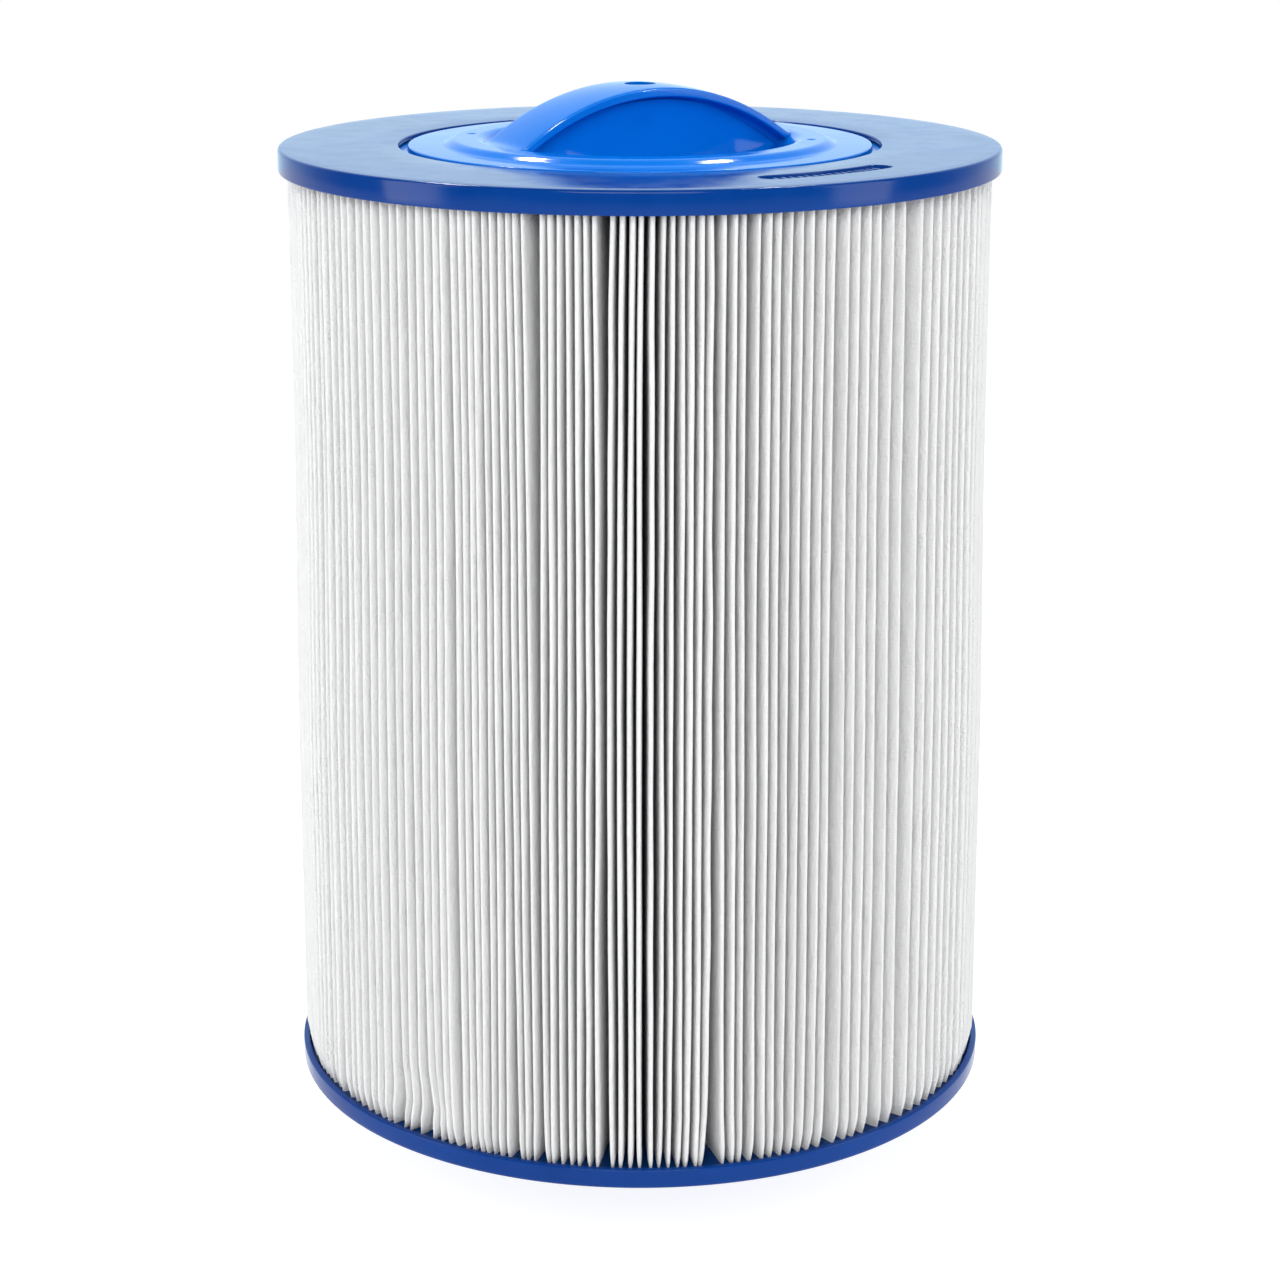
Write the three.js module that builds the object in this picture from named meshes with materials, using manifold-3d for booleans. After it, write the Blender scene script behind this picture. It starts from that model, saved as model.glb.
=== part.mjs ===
// A pleated spa filter cartridge: 6 in across its top flange, 8 in from the flange's top to the
// underside of the bottom cap, lifted by a moulded handle and screwed into its housing by a
// threaded spigot. Millimetres, +Z up, origin at the centre of the spigot's lower end ring.

import * as THREE from 'three';
import { mergeVertices } from 'three/addons/utils/BufferGeometryUtils.js';
import Module from 'manifold-3d';

const wasm = await Module();
wasm.setup();

// ---- driving dimensions ------------------------------------------------------------------
const GAP = 0.3;                      // clearance kept between pieces that touch
const SPIGOT_LENGTH = 20;             // threaded spigot below the bottom cap
const BODY_HEIGHT = 203.2;            // bottom cap's underside to flange top, 8 in
const FLANGE_R = 76.2;                // top flange, 6 in across
const RIM_HEIGHT = 4.9;               // height of the flange's outer rim
const PLATE = 2.3;                    // thickness of the top plates
const SKIRT = 1.6;                    // wall of the rim below the plate

const BOTTOM_R = 75.9;                // bottom cap
const BOTTOM_WALL = 1.4;
const BOTTOM_FLOOR = 1.8;
const BOTTOM_RIM_HEIGHT = 4.2;

const PLEATS = 208;
const PLEAT_TIP_R = 74.2;
const PLEAT_ROOT_R = 34.8;
const TIP_HOLLOW_R = 66;              // where the two layers of a tip part, inside the fold
const VALLEY_FLOOR_R = 47;            // where two neighbouring pleats meet
const POTTING = 1.6;                  // top layer of resin
const BOTTOM_POTTING = 1.2;

const CORE_R = 34.4;
const CORE_WALL = 2.4;
const CORE_PARTS = 2;
const CORE_LAP = 5;                   // half-lap between core sections
const WINDOWS_AROUND = 10;
const WINDOW_ROWS = 5;
const WINDOW_WIDTH = 14;
const WINDOW_RIB = 3.5;               // solid band between two rows of windows

const INSERT_R = 49;                  // handle insert, inside the ring groove
const GROOVE_R = 51;                  // outer side of the ring groove
const INSERT_RIM_R = 53.7;            // thin rim that lies under the flange's lip
const LIP = 1.0;                      // thickness of the flange's inner lip
const BOSS_R = 39.6;
const BOSS_FOOT_R = 41.4;
const BOSS_HEIGHT = 1.2;
const POCKET_R = 33.5;                // finger pockets' round edge
const POCKET_DEPTH = 12;              // below the flange's top
const SHELL = 2.2;                    // moulded wall of the insert

const HANDLE_TURN = THREE.MathUtils.degToRad(29);
const CROWN = 12.5;                   // top of the handle above the flange
const ARCH_R = 50;                    // its long arch
const BAND_HALF = 9;                  // half the width of the band
const BAND_END_R = 34.6;
const LIP_HEIGHT = 3.9;               // finger lip along both sides of the band
const WEB_HALF = 5;                   // web under the band, at its thinnest
const WEB_SCOOP_R = 30;               // hollow of each side of the web
const WEB_VOID_HALF = 3.2;            // space inside the web, open to the core
const WEB_VOID_END = 29;
const VENT_R = 3.3;

const THREAD_R = 24.13;               // 1-1/2 in pipe thread, 11.5 per inch
const THREAD_DEPTH = 1.2;
const THREAD_PITCH = 25.4 / 11.5;
const THREAD_TURNS = 7;
const THREAD_START_Z = 1.5;           // plain lead-in below the first turn
const SPIGOT_BORE_R = 19.5;
const ADAPTER_FLANGE = 2.5;

const SEAM_ANGLE = Math.PI / 2;       // the media's seam is at the back
const SEAM_WIDTH = 3.6;               // room for it at the pleat tips
const END_LEG_X = 0.36;               // the media's two ends, either side of the seam
const END_LEG_R = 73;
const SHEET = 0.45;                   // thickness of the filter sheet
const CLIP_IN_R = 62;
const CLIP_OUT_R = 73.9;
const CLIP_WALL = 0.4;

const PLAQUE_R = 62.5;                // middle of the blank label recess
const PLAQUE_WIDTH = 5.2;
const PLAQUE_DEPTH = 0.6;
const PLAQUE_FROM = THREE.MathUtils.degToRad(-66);
const PLAQUE_TO = THREE.MathUtils.degToRad(-41);

const ROUND = 72;                     // facets of the large rings
const INSERT_ROUND = 60;              // facets of the handle insert
const SPIGOT_ROUND = 32;              // facets of the threaded adapter
const BEYOND = 40;                    // reach of a cutter past the piece it cuts

// ---- heights worked out from them --------------------------------------------------------
const TOP_Z = SPIGOT_LENGTH + BODY_HEIGHT;
const PLATE_UNDER_Z = TOP_Z - PLATE;
const POTTING_TOP_Z = PLATE_UNDER_Z - GAP;
const MEDIA_TOP_Z = POTTING_TOP_Z - POTTING - GAP;
const BOTTOM_FLOOR_Z = SPIGOT_LENGTH + BOTTOM_FLOOR;
const CORE_BOTTOM_Z = BOTTOM_FLOOR_Z + GAP;
const MEDIA_BOTTOM_Z = CORE_BOTTOM_Z + BOTTOM_POTTING + GAP;

// ---- materials ---------------------------------------------------------------------------
const finish = (color, roughness) => new THREE.MeshStandardMaterial({ color, roughness, metalness: 0 });
const BLUE_CAP = finish(0x0a4fb4, 0.35);
const BLUE_HANDLE = finish(0x1268dc, 0.28);
const BLUE_RESIN = finish(0x0b46a0, 0.5);
const WHITE_FELT = finish(0xf1f1f0, 0.95);
const WHITE_PLASTIC = finish(0xe6e8e8, 0.45);

const cartridge = new THREE.Group();

function add(name, geometry, material) {
  const mesh = new THREE.Mesh(geometry, material);
  mesh.name = name;
  cartridge.add(mesh);
}

// ---- shapes ------------------------------------------------------------------------------

// A solid turned about Z from [radius, height] points, from the axis back to the axis.
function disc(points, facets) {
  const profile = points.map(([r, z]) => new THREE.Vector2(r, z));
  return new THREE.LatheGeometry(profile, facets).rotateX(Math.PI / 2);
}

// A ring turned about Z: its section's points are listed anticlockwise and close on themselves.
function turned(points, facets = ROUND) {
  return disc([...points, points[0]], facets);
}

// Points of a round arc from angle a to angle b about [x, y].
function arc(x, y, r, a, b, steps) {
  return Array.from({ length: steps + 1 }, (_, i) => {
    const t = a + (b - a) * i / steps;
    return [x + r * Math.cos(t), y + r * Math.sin(t)];
  });
}

function outline(points) {
  return new THREE.Shape(points.map(([x, y]) => new THREE.Vector2(x, y)));
}

function extruded(points, depth) {
  return new THREE.ExtrudeGeometry(outline(points), { depth, bevelEnabled: false });
}

// An extrusion along the handle's width: section in (along, up), from depth a to b.
function acrossHandle(points, a, b) {
  const geometry = extruded(points, b - a).translate(0, 0, a);
  return geometry.rotateX(Math.PI / 2);
}

// An extrusion along the handle's length: section in (across, up), front side at -Y.
function alongHandle(points, half) {
  const geometry = extruded(points, 2 * half).translate(0, 0, -half).rotateX(Math.PI / 2);
  return geometry.rotateZ(-Math.PI / 2);
}

function toSolid(geometry) {
  const bare = geometry.clone();
  bare.deleteAttribute('normal');
  bare.deleteAttribute('uv');
  const merged = mergeVertices(bare, 1e-4);
  const corners = merged.index.array;
  const kept = [];
  for (let i = 0; i < corners.length; i += 3) {
    const [a, b, c] = corners.slice(i, i + 3);
    if (a !== b && b !== c && c !== a) kept.push(a, b, c);
  }
  return new wasm.Manifold(new wasm.Mesh({
    numProp: 3,
    vertProperties: new Float32Array(merged.attributes.position.array),
    triVerts: new Uint32Array(kept),
  }));
}

function toGeometry(solid) {
  const { vertProperties, triVerts } = solid.getMesh();
  const geometry = new THREE.BufferGeometry();
  geometry.setAttribute('position', new THREE.BufferAttribute(vertProperties, 3));
  geometry.setIndex(new THREE.BufferAttribute(triVerts, 1));
  geometry.computeVertexNormals();
  return geometry;
}

// ---- top flange: a shallow tray, upside down, with a lip that laps the handle insert ------

function topEndCap() {
  const ring = turned([
    [GROOVE_R, TOP_Z],
    [GROOVE_R, TOP_Z - LIP],
    [INSERT_RIM_R + GAP, TOP_Z - LIP],
    [INSERT_RIM_R + GAP, PLATE_UNDER_Z],
    [FLANGE_R - SKIRT, PLATE_UNDER_Z],
    [FLANGE_R - SKIRT, TOP_Z - RIM_HEIGHT],
    [FLANGE_R, TOP_Z - RIM_HEIGHT],
    [FLANGE_R, TOP_Z - 0.8],
    [FLANGE_R - 0.8, TOP_Z],
  ]);
  return toGeometry(toSolid(ring).subtract(toSolid(plaqueCutter())));
}

// The label recess: a round-ended slot that follows the flange.
function plaqueCutter() {
  const half = PLAQUE_WIDTH / 2;
  const endCentre = (angle) => [PLAQUE_R * Math.cos(angle), PLAQUE_R * Math.sin(angle)];
  const [ax, ay] = endCentre(PLAQUE_FROM);
  const [bx, by] = endCentre(PLAQUE_TO);
  const slot = [
    ...arc(0, 0, PLAQUE_R + half, PLAQUE_FROM, PLAQUE_TO, 8),
    ...arc(bx, by, half, PLAQUE_TO, PLAQUE_TO + Math.PI, 6).slice(1, -1),
    ...arc(0, 0, PLAQUE_R - half, PLAQUE_TO, PLAQUE_FROM, 8),
    ...arc(ax, ay, half, PLAQUE_FROM + Math.PI, PLAQUE_FROM + 2 * Math.PI, 6).slice(1, -1),
  ];
  return extruded(slot, 2).translate(0, 0, TOP_Z - PLAQUE_DEPTH);
}

// ---- handle insert: plate, boss, two finger pockets and the bridge between them -----------

// The arch's section, lowered by `drop`, from -half to half, down to `floor`.
function archSection(half, drop, floor) {
  const span = Math.asin(half / ARCH_R);
  const crown = arc(0, CROWN - drop - ARCH_R, ARCH_R, Math.PI / 2 - span, Math.PI / 2 + span, 16);
  return [[-half, floor], [half, floor], ...crown];
}

// The finger pockets' round bowl, grown by `wall` for its outer side, and closed at height `top`.
function bowl(wall, top) {
  const depth = POCKET_DEPTH + BOSS_HEIGHT;
  const sphereR = (POCKET_R ** 2 + depth ** 2) / (2 * depth);
  const centreZ = BOSS_HEIGHT + sphereR - depth;
  const r = sphereR + wall;
  const rimZ = wall > 0 ? 0 : BOSS_HEIGHT;
  const rim = Math.asin((rimZ - centreZ) / r);
  const side = arc(0, centreZ, r, -Math.PI / 2, rim, 8);
  side[0][0] = 0;
  const rimR = side[side.length - 1][0];
  return disc([...side, [rimR, top], [0, top]], INSERT_ROUND);
}

function handleInsert() {
  const plate = disc([
    [0, -PLATE],
    [INSERT_RIM_R, -PLATE],
    [INSERT_RIM_R, -LIP - GAP],
    [INSERT_R, -LIP - GAP],
    [INSERT_R, 0],
    [BOSS_FOOT_R, 0],
    [BOSS_R, BOSS_HEIGHT],
    [0, BOSS_HEIGHT],
  ], INSERT_ROUND);
  const body = toSolid(plate).add(toSolid(bowl(SHELL, BOSS_HEIGHT / 2))).add(handleBand());
  const pocket = fingerPocket();
  const shaped = body
    .subtract(pocket)
    .subtract(pocket.rotate([0, 0, 180]))
    .subtract(webHollow());
  return toGeometry(shaped).rotateZ(HANDLE_TURN).translate(0, 0, TOP_Z);
}

// The bridge: an arched block whose ends follow the pockets' round edge.
function handleBand() {
  const [low, high] = [-PLATE / 2, CROWN + 1];
  const ends = disc([[0, low], [BAND_END_R, low], [BAND_END_R, high], [0, high]], INSERT_ROUND);
  const arch = acrossHandle(archSection(BAND_END_R + 1, 0, -BAND_HALF), -BAND_HALF, BAND_HALF);
  return toSolid(arch).intersect(toSolid(ends));
}

// The space under the band, open to the core below and to the air through the vent hole.
function webHollow() {
  const section = archSection(WEB_VOID_END, SHELL, -BEYOND);
  const vent = new THREE.CylinderGeometry(VENT_R, VENT_R, 4 * SHELL, 24).rotateX(Math.PI / 2);
  return toSolid(acrossHandle(section, -WEB_VOID_HALF, WEB_VOID_HALF))
    .add(toSolid(vent.translate(0, 0, CROWN)));
}

// The front pocket: open to the sky in front of the band, and scooped under its lip.
function fingerPocket() {
  const round = toSolid(bowl(0, 2 * CROWN));
  const inFront = [[-BEYOND, -BEYOND], [BEYOND, -BEYOND], [BEYOND, BEYOND], [-BEYOND, BEYOND]];
  const open = toSolid(acrossHandle(inFront, BAND_HALF, BEYOND));
  const underLip = toSolid(acrossHandle(archSection(BAND_END_R, LIP_HEIGHT, -BEYOND), 0, BAND_HALF + 1));
  const scoop = toSolid(alongHandle(webFace(), BEYOND));
  return round.intersect(open.add(underLip.intersect(scoop)));
}

// Everything in front of the web's hollow face, in (across, up).
function webFace() {
  const reach = POCKET_DEPTH + 1;
  const span = Math.asin(reach / WEB_SCOOP_R);
  const face = arc(WEB_HALF + WEB_SCOOP_R, 0, WEB_SCOOP_R, Math.PI - span, Math.PI + span, 8);
  return [...face, [BEYOND, -reach], [BEYOND, reach]];
}

// ---- resin layers that bond the pleats to the caps ----------------------------------------

function pottingRing(inner, outer, bottom, height) {
  const top = bottom + height;
  return turned([[inner, bottom], [outer, bottom], [outer, top], [inner, top]]);
}

// It laps half the core's wall, and leaves room for the handle insert's bowl.
function topPotting() {
  const inner = CORE_R - CORE_WALL / 2;
  return pottingRing(inner, FLANGE_R - SKIRT - GAP, POTTING_TOP_Z - POTTING, POTTING);
}

function bottomPotting() {
  return pottingRing(CORE_R + GAP, BOTTOM_R - BOTTOM_WALL - GAP, CORE_BOTTOM_Z, BOTTOM_POTTING);
}

// ---- filter sheet: one long sheet folded into pleats, its two ends brought together --------

const polar = (r, t) => [r * Math.cos(t), r * Math.sin(t)];

function pleatedMedia() {
  const seamHalf = SEAM_WIDTH / 2 / PLEAT_TIP_R;
  const start = SEAM_ANGLE + seamHalf;
  const step = (2 * Math.PI - 2 * seamHalf) / PLEATS;
  const outer = [];
  const inner = [];
  for (let k = 0; k < PLEATS; k += 1) {
    const tip = start + (k + 0.5) * step;
    outer.push(polar(PLEAT_TIP_R, tip));
    inner.push(polar(TIP_HOLLOW_R, tip));
    if (k < PLEATS - 1) {
      outer.push(polar(VALLEY_FLOOR_R, start + (k + 1) * step));
      inner.push(polar(PLEAT_ROOT_R, start + (k + 1) * step));
    }
  }
  // the end legs stand side by side at the seam, each with one face towards the other
  const [near, far] = [END_LEG_X - SHEET / 2, END_LEG_X + SHEET / 2];
  const legs = (side) => [[side * far, VALLEY_FLOOR_R], [side * far, END_LEG_R],
    [side * near, END_LEG_R], [side * near, PLEAT_ROOT_R + 0.1]];
  const firstRoot = polar(PLEAT_ROOT_R, start - step * 0.2);
  const lastRoot = polar(PLEAT_ROOT_R, start + (PLEATS + 0.2) * step);
  const sheet = [...outer, ...legs(1), lastRoot, ...inner.reverse(), firstRoot, ...legs(-1).reverse()];
  return extruded(sheet, MEDIA_TOP_Z - MEDIA_BOTTOM_Z).translate(0, 0, MEDIA_BOTTOM_Z);
}

// A thin channel pushed over the two ends of the sheet.
function seamClip() {
  const inside = END_LEG_X + SHEET / 2 + GAP;
  const outside = inside + CLIP_WALL;
  const floor = END_LEG_R + GAP;
  const section = [
    [-outside, CLIP_IN_R], [-inside, CLIP_IN_R], [-inside, floor], [inside, floor],
    [inside, CLIP_IN_R], [outside, CLIP_IN_R], [outside, CLIP_OUT_R], [-outside, CLIP_OUT_R],
  ];
  const height = MEDIA_TOP_Z - MEDIA_BOTTOM_Z;
  return extruded(section, height).translate(0, 0, MEDIA_BOTTOM_Z);
}

// ---- core: moulded cage sections, half-lapped end to end -----------------------------------

function coreSection(index) {
  const length = (MEDIA_TOP_Z - CORE_BOTTOM_Z - GAP * (CORE_PARTS - 1)) / CORE_PARTS;
  const bottom = CORE_BOTTOM_Z + index * (length + GAP);
  const top = bottom + length;
  const innerR = CORE_R - CORE_WALL;
  const midR = (CORE_R + innerR) / 2;
  const hasSocket = index < CORE_PARTS - 1;
  const hasPlug = index > 0;
  const plugEnd = [[innerR, bottom - CORE_LAP], [midR - GAP / 2, bottom - CORE_LAP],
    [midR - GAP / 2, bottom], [CORE_R, bottom]];
  const socketEnd = [[CORE_R, top], [midR + GAP / 2, top],
    [midR + GAP / 2, top - CORE_LAP - GAP], [innerR, top - CORE_LAP - GAP]];
  const wall = turned([
    ...(hasPlug ? plugEnd : [[innerR, bottom], [CORE_R, bottom]]),
    ...(hasSocket ? socketEnd : [[CORE_R, top], [innerR, top]]),
  ], 2 * WINDOWS_AROUND);
  return toGeometry(toSolid(wall).subtract(coreWindows(bottom, top)));
}

// Tall windows in rows: each bar cuts two opposite windows of its row.
function coreWindows(bottom, top) {
  const margin = CORE_LAP + 3;
  const pitch = (top - bottom - 2 * margin) / WINDOW_ROWS;
  const height = pitch - WINDOW_RIB;
  const bars = [];
  for (let row = 0; row < WINDOW_ROWS; row += 1) {
    for (let side = 0; side < WINDOWS_AROUND / 2; side += 1) {
      const bar = new THREE.BoxGeometry(3 * CORE_R, WINDOW_WIDTH, height);
      bar.rotateZ((2 * Math.PI * side) / WINDOWS_AROUND);
      bar.translate(0, 0, bottom + margin + pitch * (row + 0.5));
      bars.push(toSolid(bar));
    }
  }
  return bars.reduce((all, bar) => all.add(bar));
}

// ---- bottom cap and its threaded adapter ---------------------------------------------------

function bottomEndCap() {
  const holeR = THREAD_R + 0.5;
  return turned([
    [holeR, SPIGOT_LENGTH],
    [BOTTOM_R - 0.9, SPIGOT_LENGTH],
    [BOTTOM_R, SPIGOT_LENGTH + 0.9],
    [BOTTOM_R, SPIGOT_LENGTH + BOTTOM_RIM_HEIGHT],
    [BOTTOM_R - BOTTOM_WALL, SPIGOT_LENGTH + BOTTOM_RIM_HEIGHT],
    [BOTTOM_R - BOTTOM_WALL, BOTTOM_FLOOR_Z],
    [holeR, BOTTOM_FLOOR_Z],
  ]);
}

// How far the thread stands out of its root at an angle and height: a helical triangle wave,
// which fades over the first and last turn.
function threadHeight(angle, z) {
  const last = THREAD_START_Z + THREAD_TURNS * THREAD_PITCH;
  const fade = Math.min(1, Math.max(0, Math.min(z - THREAD_START_Z, last - z) / THREAD_PITCH));
  const phase = z / THREAD_PITCH - angle / (2 * Math.PI);
  const wave = 1 - Math.abs(2 * (phase - Math.floor(phase)) - 1);
  return THREAD_DEPTH * fade * wave;
}

// The adapter is a tube with a flange inside the core; its outer wall carries the thread. It is
// turned from a profile with extra rings below the cap, which then move out by the thread's height.
function threadedAdapter() {
  const rootR = THREAD_R - THREAD_DEPTH;
  const flangeR = (CORE_R - CORE_WALL) * Math.cos(Math.PI / (2 * WINDOWS_AROUND)) - GAP;
  const flangeZ = CORE_BOTTOM_Z;
  const rings = 4 * THREAD_TURNS;
  const ringZ = (i) => THREAD_START_Z + (i * THREAD_PITCH) / 4;
  const threaded = Array.from({ length: rings + 1 }, (_, i) => [rootR, ringZ(i)]);
  const geometry = turned([
    [SPIGOT_BORE_R + 0.5, 0],
    [rootR - 0.6, 0],
    ...threaded,
    [rootR, flangeZ],
    [flangeR, flangeZ],
    [flangeR, flangeZ + ADAPTER_FLANGE],
    [SPIGOT_BORE_R + 2, flangeZ + ADAPTER_FLANGE],
    [SPIGOT_BORE_R, flangeZ + ADAPTER_FLANGE - 2],
    [SPIGOT_BORE_R, 0.5],
  ], SPIGOT_ROUND);
  const points = geometry.attributes.position;
  for (let i = 0; i < points.count; i += 1) {
    const [x, y, z] = [points.getX(i), points.getY(i), points.getZ(i)];
    const r = Math.hypot(x, y);
    const onThread = Math.abs(r - rootR) < 1e-3 && z < ringZ(rings) + 1e-3;
    const scale = onThread ? (r + threadHeight(Math.atan2(y, x), z)) / r : 1;
    points.setXY(i, x * scale, y * scale);
  }
  return geometry;
}

// ---- assembly ------------------------------------------------------------------------------

add('top_end_cap', topEndCap(), BLUE_CAP);
add('handle_insert', handleInsert(), BLUE_HANDLE);
add('top_potting', topPotting(), BLUE_RESIN);
add('pleated_media', pleatedMedia(), WHITE_FELT);
add('seam_clip', seamClip(), WHITE_PLASTIC);
for (let i = 0; i < CORE_PARTS; i += 1) {
  add(`core_section_${i + 1}`, coreSection(i), WHITE_PLASTIC);
}
add('bottom_potting', bottomPotting(), BLUE_RESIN);
add('bottom_end_cap', bottomEndCap(), BLUE_CAP);
add('threaded_adapter', threadedAdapter(), BLUE_CAP);

export default cartridge;
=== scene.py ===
"""A pleated spa filter cartridge, piece by piece in the order it is put together on the bench.
Shapes are worked out in millimetres and set down in metres, in the frame of the solids."""

import math

import bpy
import numpy as np
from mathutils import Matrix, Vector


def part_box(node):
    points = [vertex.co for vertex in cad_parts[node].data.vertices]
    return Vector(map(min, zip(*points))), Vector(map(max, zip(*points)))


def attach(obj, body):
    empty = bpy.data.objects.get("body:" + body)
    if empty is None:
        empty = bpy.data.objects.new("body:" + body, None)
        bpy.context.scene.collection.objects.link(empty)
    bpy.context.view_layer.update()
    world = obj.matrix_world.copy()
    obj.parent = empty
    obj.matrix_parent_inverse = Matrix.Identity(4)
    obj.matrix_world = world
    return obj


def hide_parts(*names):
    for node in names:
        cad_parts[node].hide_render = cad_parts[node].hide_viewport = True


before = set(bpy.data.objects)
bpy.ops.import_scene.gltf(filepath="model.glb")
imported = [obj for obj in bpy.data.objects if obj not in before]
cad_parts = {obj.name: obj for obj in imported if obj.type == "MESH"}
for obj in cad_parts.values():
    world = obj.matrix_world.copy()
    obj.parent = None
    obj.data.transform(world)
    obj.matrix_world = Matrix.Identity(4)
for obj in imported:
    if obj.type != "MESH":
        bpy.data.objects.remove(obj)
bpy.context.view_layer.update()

# ---- Threaded adapter ---------------------------------------------------------------------
# A moulded tube whose flange sits inside the core and whose spigot passes down through the
# bottom cap. Its outside carries a fine right-hand pipe thread that screws into the filter well.

MM = 0.001
TURN = 2 * math.pi


def limits(node):
    """The node's lowest and highest corners in millimetres."""
    return [np.array(corner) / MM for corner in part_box(node)]


class Wire:
    """One output of a shader node. Arithmetic on it adds a Math node for each operator."""

    def __init__(self, paint, socket):
        self.paint = paint
        self.socket = socket

    def math(self, operation, first, second):
        return self.paint.node("ShaderNodeMath", {"operation": operation}, {0: first, 1: second})

    def __add__(self, other):
        return self.math("ADD", self, other)

    def __radd__(self, other):
        return self.math("ADD", other, self)

    def __sub__(self, other):
        return self.math("SUBTRACT", self, other)

    def __rsub__(self, other):
        return self.math("SUBTRACT", other, self)

    def __mul__(self, other):
        return self.math("MULTIPLY", self, other)

    def __rmul__(self, other):
        return self.math("MULTIPLY", other, self)


class Paint:
    """A finish: one material whose Principled shader takes constants and worked-out values."""

    def __init__(self, name, constants):
        self.material = bpy.data.materials.new(name)
        self.material.use_nodes = True
        self.tree = self.material.node_tree
        self.shader = self.tree.nodes["Principled BSDF"]
        self.coords = self.node("ShaderNodeTexCoord", {}, {}, out="Object")
        for socket, value in constants.items():
            self.shader.inputs[socket].default_value = value

    def feed(self, socket, value):
        if isinstance(value, Wire):
            self.tree.links.new(value.socket, socket)
        else:
            socket.default_value = value

    def node(self, kind, settings, sockets, out=0):
        made = self.tree.nodes.new(kind)
        for key, value in settings.items():
            setattr(made, key, value)
        for key, value in sockets.items():
            self.feed(made.inputs[key], value)
        return Wire(self, made.outputs[out])

    def noise(self, scale, detail=3.0, roughness=0.5, stretch=(1, 1, 1)):
        """Noise from 0 to 1 with `scale` cells to the metre, drawn out where `stretch` is small."""
        place = self.node("ShaderNodeMapping", {}, {"Vector": self.coords, "Scale": stretch})
        sockets = {"Vector": place, "Scale": scale, "Detail": detail, "Roughness": roughness}
        return self.node("ShaderNodeTexNoise", {}, sockets)

    def ramp(self, value, low, high, low_out=0.0, high_out=1.0):
        """A smooth step of `value` from low_out at `low` to high_out at `high`."""
        sockets = {"Value": value, 1: low, 2: high, 3: low_out, 4: high_out}
        return self.node("ShaderNodeMapRange", {"interpolation_type": "SMOOTHSTEP"}, sockets)

    def mixed(self, share, first, second):
        """A colour between two colours."""
        sockets = {0: share, 6: first, 7: second}
        return self.node("ShaderNodeMix", {"data_type": "RGBA"}, sockets, out=2)

    def relief(self, height, depth, strength=1.0, under=None):
        """A bump `depth` metres deep, on top of another one if given."""
        sockets = {"Height": height, "Distance": depth, "Strength": strength}
        if under is not None:
            sockets["Normal"] = under
        return self.node("ShaderNodeBump", {}, sockets)

    def finish(self, **values):
        """Feeds the shader's sockets, named with _ for a space, and returns the material."""
        for name, value in values.items():
            self.feed(self.shader.inputs[name.replace("_", " ")], value)
        return self.material


def moulded(name, deep, pale, gloss, flow=(1, 1, 1)):
    """Injection-moulded plastic: a slow drift of tone, faint flow marks in the gloss, and a
    skin that waves a little."""
    paint = Paint(name, {"IOR": 1.49, "Specular IOR Level": 0.15})
    drift = paint.noise(22, 2)
    marks = paint.noise(160, 5, 0.6, flow)
    specks = paint.noise(2600, 2)
    tone = paint.mixed(paint.ramp(drift + marks * 0.35, 0.35, 0.95), deep, pale)
    wave = paint.relief(paint.noise(45, 1), 0.00015, 0.4)
    skin = paint.relief(marks + specks * 0.2, 0.00002, 0.5, wave)
    roughness = paint.ramp(marks + specks * 0.2, 0.35, 0.85, gloss * 0.8, gloss * 1.35)
    return paint.finish(Base_Color=tone, Roughness=roughness, Normal=skin)


def net(rows, columns, round_rows=False, round_columns=False):
    """Quads between neighbouring points of a grid; a round direction joins its end to its start."""
    i = np.arange(rows if round_rows else rows - 1)[:, None]
    j = np.arange(columns if round_columns else columns - 1)[None, :]
    below, beside = (i + 1) % rows, (j + 1) % columns
    corners = [i * columns + j, i * columns + beside, below * columns + beside, below * columns + j]
    return np.stack(np.broadcast_arrays(*corners), -1).reshape(-1, 4)


def outward(points, faces):
    """The same faces, turned over if they enclose a negative volume."""
    a, b, c = (points[faces[:, k]] for k in (0, 1, 2))
    volume = np.einsum("ij,ij->", a, np.cross(b, c))
    if faces.shape[1] == 4:
        d = points[faces[:, 3]]
        volume += np.einsum("ij,ij->", a, np.cross(c, d))
    return faces if volume > 0 else faces[:, ::-1]


def piece(name, shells, material, crease=35.0):
    """A mesh object made of shells, each its points in mm and one or more arrays of faces.
    Edges sharper than `crease` degrees stay crisp."""
    points, faces, start = [], [], 0
    for shell_points, *face_sets in shells:
        points.append(shell_points)
        for face_set in face_sets:
            faces.extend((face_set + start).tolist())
        start += len(shell_points)
    mesh = bpy.data.meshes.new(name)
    mesh.from_pydata((np.concatenate(points) * MM).tolist(), [], faces)
    mesh.materials.append(material)
    mesh.shade_smooth()
    mesh.set_sharp_from_angle(angle=math.radians(crease))
    made = bpy.data.objects.new(name, mesh)
    bpy.context.scene.collection.objects.link(made)
    return made


def softened(corners, radius, steps=4):
    """A closed outline with each corner replaced by a curve that starts and ends `radius` away
    from it, or less on a short side: (1-t)^2 a + 2t(1-t) corner + t^2 b."""
    corners = np.array(corners, float)
    radius = np.broadcast_to(np.array(radius, float), len(corners))[:, None]
    ends = []
    for neighbour in (np.roll(corners, 1, 0), np.roll(corners, -1, 0)):
        side = neighbour - corners
        length = np.linalg.norm(side, axis=1, keepdims=True)
        ends.append(corners + side / length * np.minimum(radius, length * 0.45))
    t = np.linspace(0, 1, steps + 1)[None, :, None]
    a, c, b = ends[0][:, None], corners[:, None], ends[1][:, None]
    return ((1 - t) ** 2 * a + 2 * t * (1 - t) * c + t ** 2 * b).reshape(-1, 2)


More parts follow.
